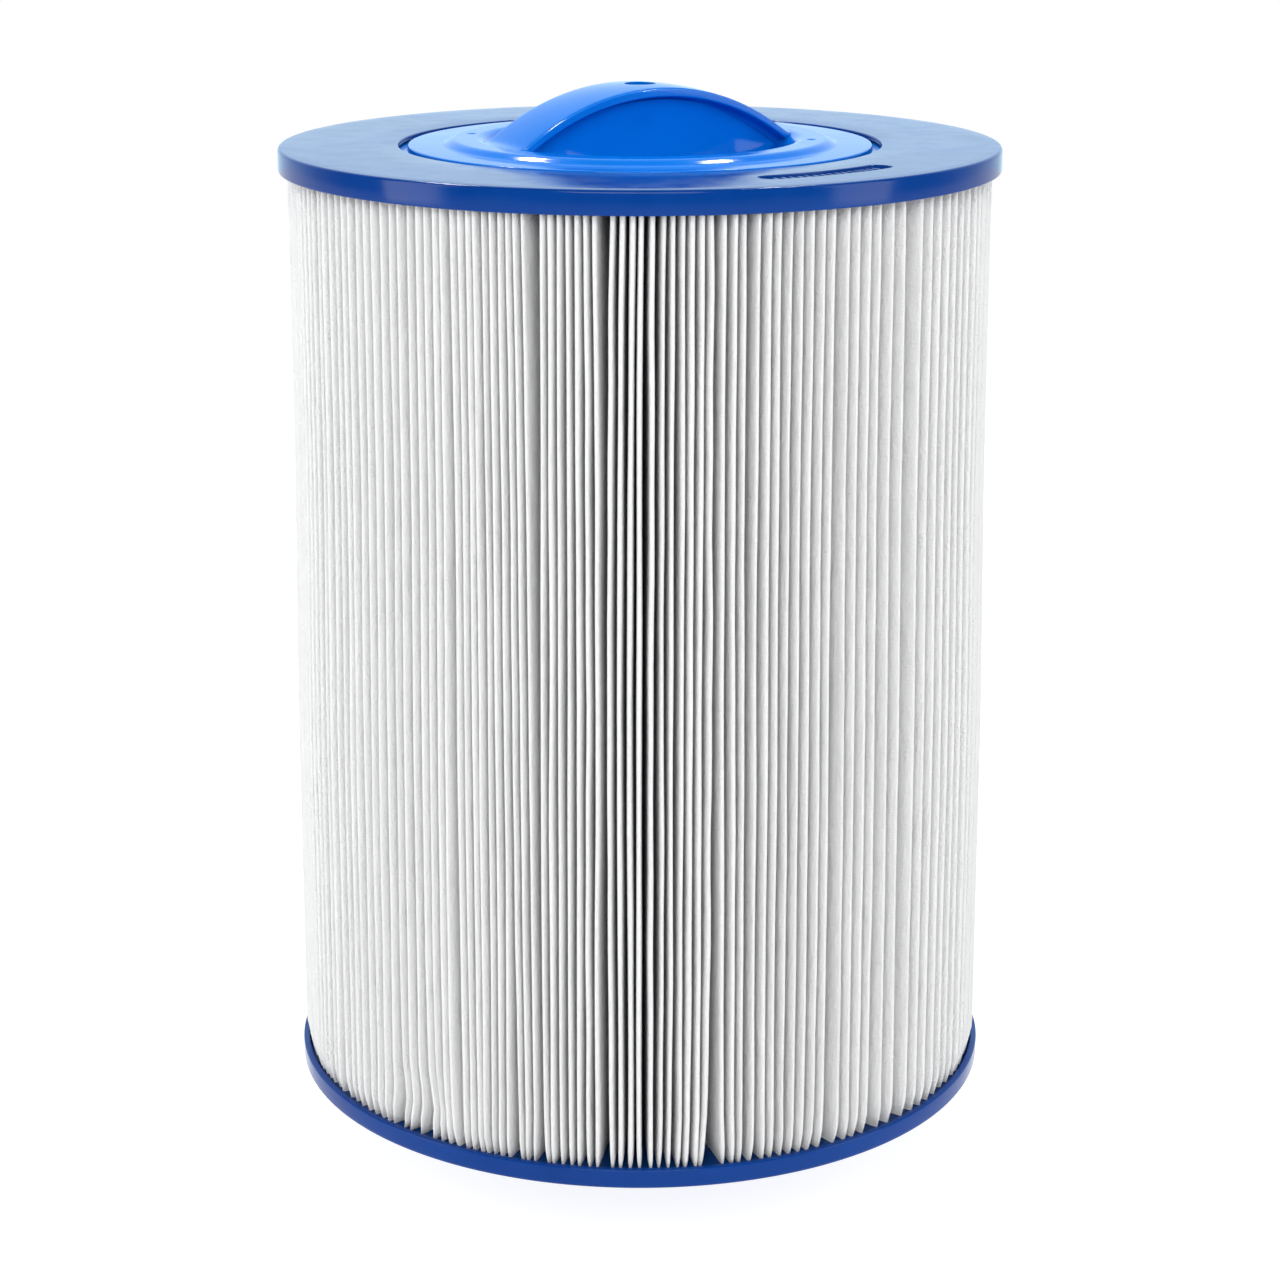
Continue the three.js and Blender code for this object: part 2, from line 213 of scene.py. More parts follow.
def filled_in(outline, gap):
    """A closed outline with points added so that none is further than `gap` from the next."""
    following = np.roll(outline, -1, 0)
    count = np.maximum(1, np.ceil(np.linalg.norm(following - outline, axis=1) / gap)).astype(int)
    index = np.repeat(np.arange(len(outline)), count)
    share = (np.arange(len(index)) - np.repeat(np.cumsum(count) - count, count)) / count[index]
    return outline[index] + (following - outline)[index] * share[:, None]


def turned(outline, angles):
    """A ring: a closed (radius, height) outline carried round Z through the angles."""
    r, z = outline[:, 0], outline[:, 1]
    x = np.cos(angles)[:, None] * r
    y = np.sin(angles)[:, None] * r
    return np.stack([x, y, np.broadcast_to(z, x.shape)], -1)


def shell(grid):
    """A grid that is round in both directions, as one closed shell."""
    rows, columns = grid.shape[:2]
    points = grid.reshape(-1, 3)
    return points, outward(points, net(rows, columns, True, True))


def all_round(count):
    return np.arange(count) * TURN / count


def settle(made, node, slot, *more_nodes):
    """The piece rides on the one rigid body and stands for its CAD nodes."""
    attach(made, "root")
    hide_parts(node, *more_nodes)


SPIGOT_R = 24.1
SPIGOT_BORE = 19.5
THREAD_DEPTH = 1.3
THREAD_PITCH = 25.4 / 11.5
THREAD_FROM, THREAD_TO = 1.6, 17.2
cap_low = limits("bottom_end_cap")[0][2]
adapter_top = limits("threaded_adapter")[1][2]
adapter_flange = limits("threaded_adapter")[1][0]


def thread_rise(angle, z):
    """Height of the thread over its root: a flat-topped wave of z over the pitch less the turns
    made, so it climbs one pitch each turn, faded in and out over the end turns."""
    phase = (z / THREAD_PITCH - angle / TURN) % 1
    wave = np.clip(1.6 - 3.2 * np.abs(phase - 0.5), 0, 1)
    fade = np.clip(np.minimum(z - THREAD_FROM, THREAD_TO - z) / THREAD_PITCH, 0, 1)
    return THREAD_DEPTH * wave * fade


def adapter_shell():
    """The tube's outline carried round Z, its outer side pushed out by thread_rise."""
    root = SPIGOT_R - THREAD_DEPTH
    outline = softened([
        [SPIGOT_BORE, 0], [root, 0], [root, 20], [root + 0.9, 20.5], [root + 0.9, adapter_top - 2.6],
        [adapter_flange, adapter_top - 2.5], [adapter_flange, adapter_top],
        [SPIGOT_BORE + 1.5, adapter_top], [SPIGOT_BORE, adapter_top - 1.5],
    ], 0.5)
    outline = filled_in(outline, 0.28)
    angles = all_round(128)
    grid = turned(outline, angles)
    radius = outline[:, 0]
    outer = np.abs(radius - root) < 0.02
    rise = thread_rise(angles[:, None], outline[None, :, 1]) * outer
    grid[..., :2] *= (1 + rise / radius)[..., None]
    return shell(grid)


BLUE_DEEP = (0.0002, 0.029, 0.18, 1)
BLUE_PALE = (0.0004, 0.039, 0.22, 1)
blue_plastic = moulded("blue_moulded_plastic", BLUE_DEEP, BLUE_PALE, 0.13, (1, 1, 0.4))
adapter = piece("threaded_spigot", [adapter_shell()], blue_plastic, 30)
settle(adapter, "threaded_adapter", "cap_blue")

# ---- Bottom cap ---------------------------------------------------------------------------
# A shallow moulded tray. The resin is poured into it, and its thin wall stands round the foot
# of the pleats. The spigot passes through the hole in its floor.

bottom_low, bottom_high = limits("bottom_end_cap")
BOTTOM_WALL = 1.4
BOTTOM_FLOOR = 1.8
BOTTOM_HOLE_R = 24.6


def bottom_cap_shell():
    """The tray's section carried round Z: a floor with two shallow steps, and a thin wall."""
    outer = bottom_high[0]
    low, high = bottom_low[2], bottom_high[2]
    corners = [
        [BOTTOM_HOLE_R, low], [BOTTOM_HOLE_R + 5, low], [BOTTOM_HOLE_R + 5.6, low + 0.5],
        [outer - 14, low + 0.5], [outer - 13.4, low], [outer, low], [outer, high],
        [outer - BOTTOM_WALL, high], [outer - BOTTOM_WALL, low + BOTTOM_FLOOR],
        [BOTTOM_HOLE_R, low + BOTTOM_FLOOR],
    ]
    rounding = [0.3, 0.3, 0.3, 0.3, 0.3, 1.0, 0.4, 0.3, 0.4, 0.3]
    return shell(turned(softened(corners, rounding, 5), all_round(360)))


bottom_cap = piece("bottom_cap", [bottom_cap_shell()], blue_plastic)
settle(bottom_cap, "bottom_end_cap", "cap_blue")

# ---- Core ---------------------------------------------------------------------------------
# Two white moulded cages, half-lapped end to end, that hold the pleats open against the
# water's pull. Each is a thin tube with rows of tall windows between ribs.

WINDOWS_AROUND = 10
WINDOW_ROWS = 5
CORE_WALL = 2.4
RIB_HALF = 3.0
BAND_END = 9.0
CORE_COLUMNS = 120
white_plastic = moulded("white_moulded_plastic", (0.62, 0.63, 0.64, 1), (0.72, 0.73, 0.73, 1), 0.38)


def core_cage(name, node, low, high):
    """The tube's outer skin as a grid of angle and height, less the quads inside a window. Row
    heights run through each window's edges, and the wall's thickness is added inwards."""
    radius = limits(node)[1][0]
    pitch = (high - low - 2 * BAND_END) / WINDOW_ROWS
    sills = low + BAND_END + pitch * np.arange(WINDOW_ROWS)[:, None]
    heights = sills + np.linspace(0.12, 0.88, 7)[None, :] * pitch
    z = np.concatenate([[low, low + 4], heights.ravel(), [high - 4, high]])
    angles = all_round(CORE_COLUMNS)
    grid = turned(np.stack([np.full_like(z, radius), z], 1), angles).transpose(1, 0, 2)
    faces = net(len(z), CORE_COLUMNS, False, True)
    middle_z = (z[:-1] + z[1:]) / 2
    row = (middle_z - low - BAND_END) / pitch
    open_row = (row > 0) & (row < WINDOW_ROWS) & (np.abs(row % 1 - 0.5) < 0.38)
    arc = (angles + math.pi / CORE_COLUMNS) * WINDOWS_AROUND / TURN % 1
    open_column = np.abs(arc - 0.5) < 0.5 - RIB_HALF * WINDOWS_AROUND / (TURN * radius)
    faces = faces[~(open_row[:, None] & open_column[None, :]).ravel()]
    cage = piece(name, [(grid.reshape(-1, 3), faces[:, ::-1])], white_plastic)
    wall = cage.modifiers.new("wall", "SOLIDIFY")
    wall.thickness = CORE_WALL * MM
    wall.offset = -1
    edges = cage.modifiers.new("edges", "BEVEL")
    edges.width = 0.4 * MM
    edges.segments = 2
    edges.limit_method = "ANGLE"
    settle(cage, node, "core_white")
    return cage


core_low = limits("core_section_1")
core_high = limits("core_section_2")
middle = core_low[1][2]
core_cage("core_lower_cage", "core_section_1", core_low[0][2], middle)
core_cage("core_upper_cage", "core_section_2", middle + 0.3, core_high[1][2])

# ---- Filter sheet -------------------------------------------------------------------------
# One long sheet of white spunbonded polyester, folded into 208 pleats and bent into a ring.
# The folds are round and fuzzy, never quite evenly spaced, and part here and there.

PLEATS = 208
TIP_R = 74.15
VALLEY_R = 47.0
ROOT_R = 34.8
HOLLOW_R = 66.0
SEAM_ANGLE = math.pi / 2
SEAM_WIDTH = 3.6
SUNK = 0.35                     # depth of the sheet's edges in the resin
ROWS = 36
FOOT_ROWS = [0, 0.0028, 0.0052, 0.0085, 0.014]   # the lowest rows, as shares of the height
FOOT_HEIGHT = 2.6               # over the resin, where the folds begin to be drawn in
FOOT_PULL, FOOT_PINCH = 0.45, 0.62   # how far in they go, and the share of width they lose
STAND_MOST = 0.15               # the furthest a fold stands out by chance
BELLY = 0.8                     # how far the pack bulges over the bottom cap's wall
BELLY_RISE, BELLY_FALL = (24.0, 29.0), (90.0, 170.0)
media_low, media_high = limits("pleated_media")

# Half of one fold in section: (half width, radius), from the flank out to the tip.
FOLD = np.array([
    [0.70, 60.0], [0.60, 70.8], [0.54, 72.8], [0.43, 73.65], [0.25, 74.03], [0.0, TIP_R],
])
LOOSENED = np.array([0.7, 0.1, -0.1, -0.2, -0.2, 0.0])   # how much of a wider spacing each takes

# Degrees from one fold to the next, by degrees from the front, positive to the right. The
# sheet was stretched further on one side when it was bent into a ring.
SPREAD = np.array([
    [-180, 1.62], [-90, 1.70], [-62, 2.25], [-45, 2.10], [-35, 1.85], [-30, 1.48], [-18, 1.46],
    [-8, 1.62], [8, 1.62], [16, 1.85], [30, 2.05], [37, 2.5], [45, 2.9], [60, 2.9], [78, 2.2],
    [100, 1.66], [180, 1.62],
])

# Where neighbouring folds part: degrees from the front, positive to the right, then the
# opening in millimetres at heights of 0, 6, 20, 50, 90 and 100 percent.
PARTED_HEIGHTS = [0, 0.06, 0.2, 0.5, 0.9, 1]
PARTED = np.array([
    [-58.0, 1.0, 0.8, 0.4, 0.2, 0.2, 0.2],
    [-41.5, 1.7, 0.7, 0.2, 0.1, 0.1, 0.1],
    [-37.0, 2.2, 0.9, 0.3, 0.2, 0.2, 0.2],
    [-30.5, 0.8, 1.2, 1.3, 1.0, 0.5, 0.4],
    [-19.8, 1.3, 1.0, 0.5, 0.2, 0.1, 0.1],
    [-15.8, 1.0, 0.5, 0.5, 0.9, 1.9, 2.4],
    [-5.2, 1.4, 1.2, 1.0, 0.4, 1.2, 1.9],
    [1.0, 0.4, 0.5, 0.7, 0.6, 0.5, 0.4],
    [10.8, 2.3, 1.2, 0.6, 0.3, 0.1, 0.1],
    [17.5, 0.4, 0.3, 0.3, 0.3, 0.6, 0.8],
    [31.0, 2.2, 1.5, 1.2, 1.2, 0.9, 0.8],
    [42.0, 1.0, 0.7, 0.4, 0.4, 0.3, 0.3],
    [46.5, 1.8, 1.7, 1.8, 2.0, 2.3, 2.5],
    [66.0, 0.8, 0.9, 1.0, 0.8, 0.6, 0.6],
    [88.0, 0.9, 0.7, 0.4, 0.5, 0.9, 1.0],
    [112.0, 1.4, 1.2, 0.9, 0.6, 0.4, 0.4],
    [139.0, 0.5, 0.6, 0.8, 1.2, 1.4, 1.3],
    [207.0, 1.3, 1.1, 0.9, 0.8, 0.5, 0.4],
    [236.0, 0.6, 0.7, 1.0, 1.1, 0.9, 0.8],
    [262.0, 1.5, 1.0, 0.6, 0.4, 0.5, 0.6],
    [287.0, 0.4, 0.5, 0.7, 1.0, 1.2, 1.2],
])
PARTED_REACH = 5.0              # pleats over which the others close up again
CRUSHED_AT = math.radians(-38)  # folds here were bent over sideways as they went into the resin


def pleat_angles():
    """The angle of each tip and of the valley before it, from the seam round to the seam, and
    each fold's spacing over the mean. The running sum of 1 / spacing numbers the folds."""
    seam_half = SEAM_WIDTH / 2 / TIP_R
    angle = np.linspace(SEAM_ANGLE + seam_half, SEAM_ANGLE + TURN - seam_half, 4000)
    from_front = np.degrees(angle + math.pi / 2 + math.pi) % 360 - 180
    density = 1 / np.interp(from_front, SPREAD[:, 0], SPREAD[:, 1])
    count = np.concatenate([[0], np.cumsum((density[1:] + density[:-1]) / 2)])
    count *= PLEATS / count[-1]
    k = np.arange(PLEATS)
    valleys, ends = np.interp(k, count, angle), np.interp(k + 1, count, angle)
    tips = np.interp(k + 0.5, count, angle)
    valleys[0] = SEAM_ANGLE
    return tips, valleys, (ends - valleys) * PLEATS / TURN


def tip_lean(tips, share):
    """Sideways move of each tip at each height, in millimetres. Folds on either side of a
    parting move away from it by sign(d) exp(-|d| / reach) times half its opening, every fold
    wanders by a few slow sine waves, and its foot strays by exp(-share / 0.02). The crushed
    folds also bend one way by exp(-((share - 0.045) / 0.022)^2), and back at the resin."""
    parted_at = np.radians(PARTED[:, 0]) - math.pi / 2
    away = (tips[:, None] - parted_at[None, :] + math.pi) % TURN - math.pi
    away = away * PLEATS / TURN
    push = np.sign(away) * np.exp(-np.abs(away) / PARTED_REACH)
    opening = np.stack([np.interp(share, PARTED_HEIGHTS, row) for row in PARTED[:, 1:]])
    lean = push @ opening / 2
    chance = np.random.default_rng(11)
    lean += chance.normal(0, 0.085, PLEATS)[:, None]
    for waves in (1.3, 2.9, 6.1):
        phase = chance.uniform(0, TURN, PLEATS)
        size = chance.normal(0, 0.08 / waves ** 0.6, PLEATS)
        lean += size[:, None] * np.sin(TURN * waves * share[None, :] + phase[:, None])
    crushed = np.exp(-(((tips + math.pi / 2 + math.pi) % TURN - math.pi - CRUSHED_AT) / 0.1) ** 4)
    kink = 1.0 * np.exp(-((share - 0.045) / 0.022) ** 2) - 1.5 * np.exp(-share / 0.012)
    loose_end = chance.normal(0, 0.3, PLEATS)[:, None] * np.exp(-share / 0.02)
    return lean + loose_end + crushed[:, None] * kink


def smooth_step(value, low, high):
    """0 below `low`, 1 above `high`, and 3t^2 - 2t^3 between."""
    t = np.clip((value - low) / (high - low), 0, 1)
    return t * t * (3 - 2 * t)


def outer_skin(share, z):
    """Grid (pleat, height, point of the fold's section) of the sheet's outer side. A tip's
    sideways move fades to nothing at the valley floor, as a fold leans from its root. At its
    foot a fold is drawn in and pinched by 1 - sqrt(1 - short^2), where short is 1 at the resin
    and 0 at FOOT_HEIGHT, and above that the pack has a slight belly."""
    tips, valleys, wide = pleat_angles()
    chance = np.random.default_rng(23)
    lean = tip_lean(tips, share)
    half = np.concatenate([FOLD * [-1, 1], FOLD[-2::-1]])
    across, radius = half[:, 0], half[:, 1]
    loosened = np.concatenate([LOOSENED, LOOSENED[-2::-1]])
    plump = 1 + chance.normal(0, 0.07, (PLEATS, 1, 1)) + (wide[:, None, None] - 1) * loosened
    swell = TURN * 3.1 * share[None, :, None] + chance.uniform(0, TURN, (PLEATS, 1, 1))
    plump = plump + 0.05 * np.sin(swell)
    short = 1 - np.clip((z - z[0] - SUNK) / FOOT_HEIGHT, 0, 1)
    foot = (1 - np.sqrt(1 - 0.98 * short ** 2))[None, :, None]
    belly = BELLY * smooth_step(z, *BELLY_RISE) * (1 - smooth_step(z, *BELLY_FALL))
    stand = np.minimum(chance.normal(0, 0.12, (PLEATS, 1, 1)), STAND_MOST)
    stand = stand - FOOT_PULL * foot + belly[None, :, None]
    reach = (radius - VALLEY_R) / (TIP_R - VALLEY_R)
    plump = plump * (1 - FOOT_PINCH * foot * reach ** 3)
    x = across * plump + lean[:, :, None] * reach
    r = radius + stand * reach ** 3
    angle = tips[:, None, None]
    ridge = np.stack([r * np.cos(angle) - x * np.sin(angle), r * np.sin(angle) + x * np.cos(angle)], -1)
    floor = np.stack([VALLEY_R * np.cos(valleys), VALLEY_R * np.sin(valleys)], -1)
    floor = np.broadcast_to(floor[:, None, None, :], (PLEATS, len(z), 1, 2))
    plan = np.concatenate([floor, ridge], 2)
    height = np.broadcast_to(z[None, :, None, None], plan.shape[:3] + (1,))
    return np.concatenate([plan, height], -1)


def inner_skin(z):
    """Grid (height, root and crest of each pleat) of the sheet's inner side."""
    tips, valleys, _ = pleat_angles()
    angle = np.stack([valleys, tips], 1).ravel()
    radius = np.tile([ROOT_R, HOLLOW_R], PLEATS)
    plan = np.stack([radius * np.cos(angle), radius * np.sin(angle)], -1)
    plan = np.broadcast_to(plan, (len(z),) + plan.shape)
    height = np.broadcast_to(z[:, None, None], plan.shape[:2] + (1,))
    return np.concatenate([plan, height], -1)


def edge_faces(outer_start, inner_start, section):
    """Triangles across the sheet's thickness at one end: the left flank fans out from the root
    and the crest, the right one from the crest and the next root."""
    k = np.arange(PLEATS)
    outer = outer_start + k[:, None] * section + np.arange(section + 1)
    outer = np.where(outer < outer_start + PLEATS * section, outer, outer_start)
    root, crest = inner_start + 2 * k, inner_start + 2 * k + 1
    following = inner_start + (2 * k + 2) % (2 * PLEATS)
    fans = [(root, outer[:, 0], outer[:, 1]), (root, outer[:, 1], crest)]
    fans += [(crest, outer[:, j], outer[:, j + 1]) for j in range(1, section - 1)]
    fans += [(crest, outer[:, section - 1], following)]
    fans += [(following, outer[:, section - 1], outer[:, section])]
    return np.concatenate([np.stack(fan, 1) for fan in fans])


def sheet_shell():
    """The two skins joined across the sheet's cut edges, top and bottom, as one closed shell.
    Rows lie closer towards both ends, by a straight line blended with a cosine, and closest at
    the foot, where FOOT_ROWS take the place of the lowest two."""
    t = np.linspace(0, 1, ROWS - len(FOOT_ROWS) + 2)
    share = 0.25 * t + 0.75 * (1 - np.cos(math.pi * t)) / 2
    share = np.concatenate([FOOT_ROWS, share[2:]])
    low, high = media_low[2] - SUNK, media_high[2] + SUNK
    z = low + (high - low) * share
    outer = outer_skin(share, z)
    section = outer.shape[2]
    outer = outer.transpose(1, 0, 2, 3).reshape(ROWS, PLEATS * section, 3)
    inner = inner_skin(z[[0, 11, 19, 27, -1]])
    rows, columns = inner.shape[:2]
    points = np.concatenate([outer.reshape(-1, 3), inner.reshape(-1, 3)])
    start = outer.shape[0] * outer.shape[1]
    outer_faces = net(ROWS, PLEATS * section, False, True)
    inner_faces = net(rows, columns, False, True)[:, ::-1] + start
    last = start - PLEATS * section
    bottom = edge_faces(0, start, section)
    top = edge_faces(last, start + (rows - 1) * columns, section)[:, ::-1]
    return points, outer_faces, inner_faces, bottom, top


def end_leg(side):
    """One cut end of the sheet, a flat leg beside the seam: a thin box with softened corners."""
    near, far = 0.135 * side, 0.585 * side
    corners = [[near, ROOT_R + 0.2], [far, ROOT_R + 0.2], [far, 73.0], [near, 73.0]]
    outline = softened(corners, 0.12, 2)
    z = np.array([media_low[2] - SUNK, media_high[2] + SUNK])
    return prism(outline, z)


def prism(outline, z):
    """An outline in plan carried up through the heights, closed by a fan at each end."""
    count = len(outline)
    sides = np.stack([np.column_stack([outline, np.full(count, height)]) for height in z])
    ends = np.array([[*outline.mean(0), z[0]], [*outline.mean(0), z[-1]]])
    points = np.concatenate([sides.reshape(-1, 3), ends])
    quads = net(len(z), count, False, True)
    i = np.arange(count)
    base = len(z) * count
    fans = np.stack([(i + 1) % count, i, np.full(count, base)], 1)
    top = np.stack([i, (i + 1) % count, np.full(count, 2)], 1)
    top[:, :2] += base - count
    top[:, 2] = base + 1
    flip = outward(points, quads) is not quads
    sets = [quads, fans, top]
    return (points, *[f[:, ::-1] if flip else f for f in sets])


def felt():
    """Matted polyester fibres: white and matt, with fine fuzz. By distance from the axis, the base colour
    carries painted light: a painted highlight makes the crease of each fold palest, and painted shade
    makes the depth between folds greyer, where the folds shade each other."""
    constants = {"Specular IOR Level": 0.12, "Sheen Weight": 0.25, "Sheen Roughness": 0.6}
    paint = Paint("white_polyester_felt", constants)
    fuzz = paint.noise(1900, 6, 0.72)
    matting = paint.noise(520, 3, 0.6, (1, 1, 0.35))
    place = paint.node("ShaderNodeVectorMath", {"operation": "MULTIPLY"}, {0: paint.coords, 1: (1, 1, 0)})
    radius = paint.node("ShaderNodeVectorMath", {"operation": "LENGTH"}, {0: place}, out="Value")
    # Painted highlight: the base colour is made palest at the crease near each fold's tip.
    crease = paint.ramp(radius + (matting - 0.5) * 0.0012, 0.0732, 0.0739)
    # Painted shade: the base colour greys with depth between the folds, from 72.2 mm in to 60 mm.
    depth = paint.ramp(radius, 0.0600, 0.0722)
    grain = paint.ramp(fuzz * 0.6 + matting * 0.4, 0.36, 0.62)
    # Grey painted shade deep in the folds, blending to the felt's white further out.
    flank_with_painted_shade = paint.mixed(depth, (0.56, 0.56, 0.56, 1), (0.87, 0.87, 0.87, 1))
    # The painted highlight at the crease is laid over the painted shade.
    felt_with_painted_light = paint.mixed(crease, flank_with_painted_shade, (0.93, 0.93, 0.93, 1))
    tone = paint.mixed(grain * 0.5, felt_with_painted_light, (0.965, 0.965, 0.96, 1))
    rumple = paint.relief(paint.noise(310, 2, 0.5, (1, 1, 0.5)), 0.0011, 0.6)
    skin = paint.relief(fuzz + matting, 0.0007, 1.0, rumple)
    return paint.finish(Base_Color=tone, Roughness=0.97, Normal=skin)


white_felt = felt()
sheet_points, *sheet_faces = sheet_shell()
sheet = piece("filter_sheet", [(sheet_points, *sheet_faces), end_leg(-1), end_leg(1)], white_felt, 60)
settle(sheet, "pleated_media", "filter_sheet")

# ---- Seam clip ----------------------------------------------------------------------------
# A thin white plastic channel pushed over the sheet's two cut ends, which makes the ring.

clip_low, clip_high = limits("seam_clip")
CLIP_WALL = 0.4
clip_z = np.linspace(clip_low[2] + 0.2, clip_high[2] - 0.2, 5)


def clip_shell():
    """The channel's section, open towards the core, carried up the whole height."""
    outside = clip_high[0]
    inside = outside - CLIP_WALL
    mouth, back = clip_low[1], clip_high[1]
    corners = [
        [-outside, mouth], [-inside, mouth], [-inside, back - 0.6], [inside, back - 0.6],
        [inside, mouth], [outside, mouth], [outside, back], [-outside, back],
    ]
    return prism(softened(corners, [0.1, 0.1, 0.1, 0.1, 0.1, 0.1, 0.35, 0.35]), clip_z)


clip = piece("seam_channel", [clip_shell()], white_plastic)
settle(clip, "seam_clip", "clip_white")

# ---- Resin --------------------------------------------------------------------------------
# Blue two-part polyurethane, cast in each cap round the ends of the pleats. It sets with a
# free surface that wavers a little.

CORE_R_OUT = limits("core_section_1")[1][0] + 0.3


def resin_shell(node, free_side):
    """A flat ring whose free side, +1 for the top or -1 for the underside, waves slightly, by
    sin(23 angle + radius) sin(9 angle)."""
    low, high = limits(node)
    inner = CORE_R_OUT if free_side > 0 else CORE_R_OUT - 1.2
    outline = filled_in(softened([
        [inner, low[2]], [high[0], low[2]], [high[0], high[2]], [inner, high[2]],
    ], 0.25, 3), 1.6)
    angles = all_round(420)
    grid = turned(outline, angles)
    face_z = high[2] if free_side > 0 else low[2]
    free = np.abs(outline[:, 1] - face_z) < 0.01
    wave = 0.1 * np.sin(23 * angles[:, None] + outline[None, :, 0]) * np.sin(9 * angles[:, None])
    grid[..., 2] += free_side * (0.12 + wave) * free
    return shell(grid)


def resin_finish():
    """Cast polyurethane: satin, with small bubbles and a slow change of tone."""
    paint = Paint("blue_cast_resin", {"IOR": 1.5, "Specular IOR Level": 0.15})
    bubbles = paint.ramp(paint.noise(900, 2), 0.62, 0.75)
    tone = paint.mixed(paint.noise(70, 3), (0.0003, 0.026, 0.12, 1), (0.0008, 0.036, 0.17, 1))
    skin = paint.relief(paint.noise(240, 3) + bubbles * 0.5, 0.00012, 0.6)
    return paint.finish(Base_Color=tone, Roughness=paint.ramp(bubbles, 0, 1, 0.34, 0.5), Normal=skin)


blue_resin = resin_finish()
bottom_resin = piece("bottom_resin", [resin_shell("bottom_potting", 1)], blue_resin)
settle(bottom_resin, "bottom_potting", "resin_blue")
top_resin = piece("top_resin", [resin_shell("top_potting", -1)], blue_resin)
settle(top_resin, "top_potting", "resin_blue")

# ---- Top cap ------------------------------------------------------------------------------
# A moulded flange like a shallow tray turned over: a flat ring with a rim that hides the tops
# of the pleats, and a recess for a label, left blank but for a row of plain bars.

top_low, top_high = limits("top_end_cap")
TOP_Z = top_high[2]
FLANGE_R = top_high[0]
PLATE = 2.3
SKIRT = 1.6
GROOVE_OUTER = 51.0
LABEL_R = 62.5
LABEL_HALF_WIDTH = 2.6
LABEL_FROM, LABEL_TO = np.radians([-66, -41])
LABEL_DEPTH = 0.8
LABEL_BARS = 15


def label_dip(radius, angle):
    """Depth of the label recess: a round-ended slot along the flange, by distance from its
    middle line, with plain raised bars standing in it across its width."""
    angle = (angle + math.pi) % TURN - math.pi
    beyond = np.maximum(np.maximum(LABEL_FROM - angle, angle - LABEL_TO), 0) * LABEL_R
    distance = np.hypot(radius - LABEL_R, beyond) - LABEL_HALF_WIDTH
    pit = 1 - smooth_step(distance, -0.25, 0.25)
    along = (angle - LABEL_FROM) / (LABEL_TO - LABEL_FROM) * LABEL_BARS
    bar = smooth_step(0.5 - np.abs(along % 1 - 0.5), 0.22, 0.36) * (beyond <= 0)
    bar = bar * (1 - smooth_step(np.abs(radius - LABEL_R), 1.1, 1.5))
    return LABEL_DEPTH * pit * (1 - 0.65 * bar)


def top_cap_shell():
    """The flange's section carried round Z, with closer angles and radii at the label, where
    the top face is let down by label_dip."""
    rebate = limits("handle_insert")[1][0] + 0.3
    corners = [
        [GROOVE_OUTER, TOP_Z], [GROOVE_OUTER, TOP_Z - 1.0], [rebate, TOP_Z - 1.0],
        [rebate, TOP_Z - PLATE], [FLANGE_R - SKIRT, TOP_Z - PLATE], [FLANGE_R - SKIRT, top_low[2]],
        [FLANGE_R, top_low[2]], [FLANGE_R, TOP_Z], [FLANGE_R - 4, TOP_Z], [LABEL_R + 3.5, TOP_Z],
    ]
    rounding = [0.35, 0.15, 0.2, 0.2, 0.3, 0.2, 0.3, 0.75, 0.3, 0.05]
    outline = softened(corners, rounding, 5)
    across_label = np.stack([np.linspace(LABEL_R + 3.4, LABEL_R - 3.4, 32), np.full(32, TOP_Z)], 1)
    outline = np.concatenate([outline, across_label])
    fine = np.linspace(LABEL_FROM - 0.06, LABEL_TO + 0.06, 300)
    angles = all_round(300)
    angles = angles[(angles - TURN < fine[0] - 0.01) | (angles - TURN > fine[-1] + 0.01)]
    angles = np.sort(np.concatenate([angles, fine + TURN]))
    grid = turned(outline, angles)
    on_top = np.abs(outline[:, 1] - TOP_Z) < 1e-6
    dip = label_dip(outline[None, :, 0], angles[:, None])
    grid[..., 2] -= dip * on_top
    return shell(grid)


top_cap = piece("top_cap", [top_cap_shell()], blue_plastic)
settle(top_cap, "top_end_cap", "cap_blue")

# ---- Handle insert ------------------------------------------------------------------------
# The lifting handle, moulded in one with its round plate: a low arched band with a finger lip
# along each side, a web under it, and a round-edged finger pocket on each side of the web.
# The plate's thin rim lies under the cap's inner lip, which leaves the ring groove.

HANDLE_TURN = math.radians(29)
INSERT_R = 49.0
BOSS_FOOT, BOSS_R, BOSS_HEIGHT = 41.4, 39.6, 1.2
POCKET_R, POCKET_DEPTH = 33.5, 12.0
POCKET_EDGE_R = 30.6            # where the pocket's own shell takes over from the plate's
WALL = 2.2
CROWN, ARCH_R = 12.5, 50.0
BAND_END_R = 35.9
WEB_HALF, WEB_SCOOP_R = 5.0, 30.0
LIP_DROP = 3.9
VENT_R = 3.3
DIMPLE_R, DIMPLE_ANGLE = 36.3, math.radians(-8.4)
bowl_depth = POCKET_DEPTH + BOSS_HEIGHT
bowl_r = (POCKET_R ** 2 + bowl_depth ** 2) / (2 * bowl_depth)
bowl_centre = BOSS_HEIGHT + bowl_r - bowl_depth


def bowl_z(radius):
    """Height of the pockets' round floor over the flange's top: a sphere's lower side."""
    return bowl_centre - np.sqrt(bowl_r ** 2 - radius ** 2)


def arch_z(along):
    """Height of the band's crown line: a long circular arch."""
    return CROWN - ARCH_R + np.sqrt(ARCH_R ** 2 - along ** 2)


def to_place(grid):
    """From the handle's own axes (along, to the front, up) to the frame's."""
    along, front, up = grid[..., 0], grid[..., 1], grid[..., 2]
    cos, sin = math.cos(HANDLE_TURN), math.sin(HANDLE_TURN)
    x = along * cos + front * sin
    y = along * sin - front * cos
    return np.stack([x, y, up + TOP_Z], -1)


